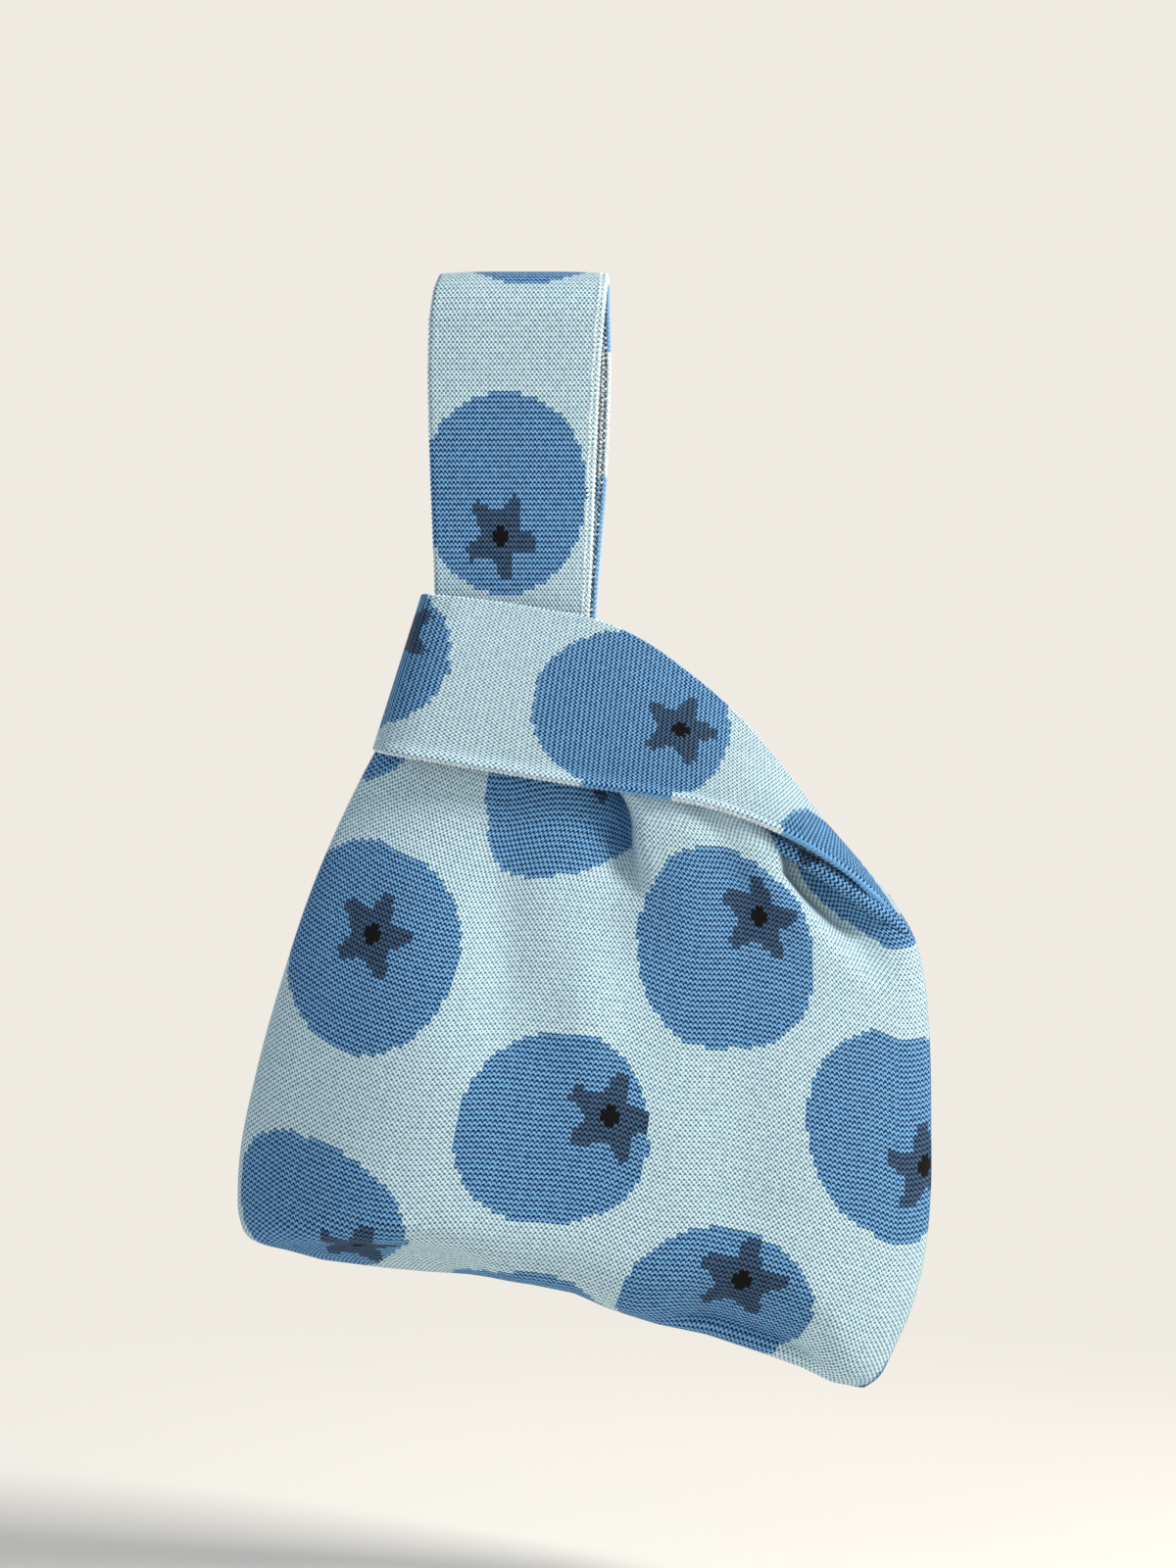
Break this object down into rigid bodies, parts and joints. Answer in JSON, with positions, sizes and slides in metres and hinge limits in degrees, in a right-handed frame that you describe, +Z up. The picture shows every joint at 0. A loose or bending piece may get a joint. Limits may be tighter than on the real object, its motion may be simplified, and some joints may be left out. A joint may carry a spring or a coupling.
{
  "type": "knitted knot bag",
  "caption": "Knitted wrist bag hung by its long handle, its mouth drawn shut by a wide short handle wrapped round the neck.",
  "frame": {"origin": "where the inside of the long handle rests on the rail or peg that it hangs from", "axes": "+Z up as the bag hangs, +Y from its front to its back, +X to the right seen from the front"},
  "size_m": [0.2212, 0.042, 0.3586],
  "materials": {
    "jacquard_knit": "soft knit",
    "selvage_chain": "soft knit",
    "linked_seam": "soft knit"
  },
  "bodies": {
    "long_handle": {"long_handle_front_strap": "jacquard_knit", "long_handle_back_strap": "jacquard_knit", "long_handle_join": "linked_seam", "long_handle_edge_left": "selvage_chain", "long_handle_edge_right": "selvage_chain", "handle_flex_front": "jacquard_knit", "handle_flex_back": "jacquard_knit"},
    "pouch": {"front_panel": "jacquard_knit", "back_panel": "jacquard_knit", "left_side_seam": "linked_seam", "right_side_seam": "linked_seam", "bottom_seam": "linked_seam", "long_handle_root_front": "jacquard_knit", "long_handle_root_back": "jacquard_knit", "armhole_edge_front": "selvage_chain", "armhole_edge_back": "selvage_chain", "mouth_edge_front": "selvage_chain", "mouth_edge_back": "selvage_chain"},
    "short_handle": {"short_handle_front": "jacquard_knit", "short_handle_back": "jacquard_knit", "short_handle_join": "linked_seam", "band_lower_edge_front": "selvage_chain", "band_lower_edge_back": "selvage_chain", "band_upper_edge_front": "selvage_chain", "band_upper_edge_back": "selvage_chain"}
  },
  "joints": [
    {"name": "pouch_swing", "type": "hinge", "parent": "long_handle", "child": "pouch", "pos_m": [0, 0, -0.062], "axis": [1, 0, 0], "range_deg": [-20, 20], "deforming": ["handle_flex_front", "handle_flex_back"]},
    {"name": "loop_slide", "type": "slide", "parent": "pouch", "child": "short_handle", "axis": [0, 0, 1], "range_m": [0, 0.03]}
  ]
}
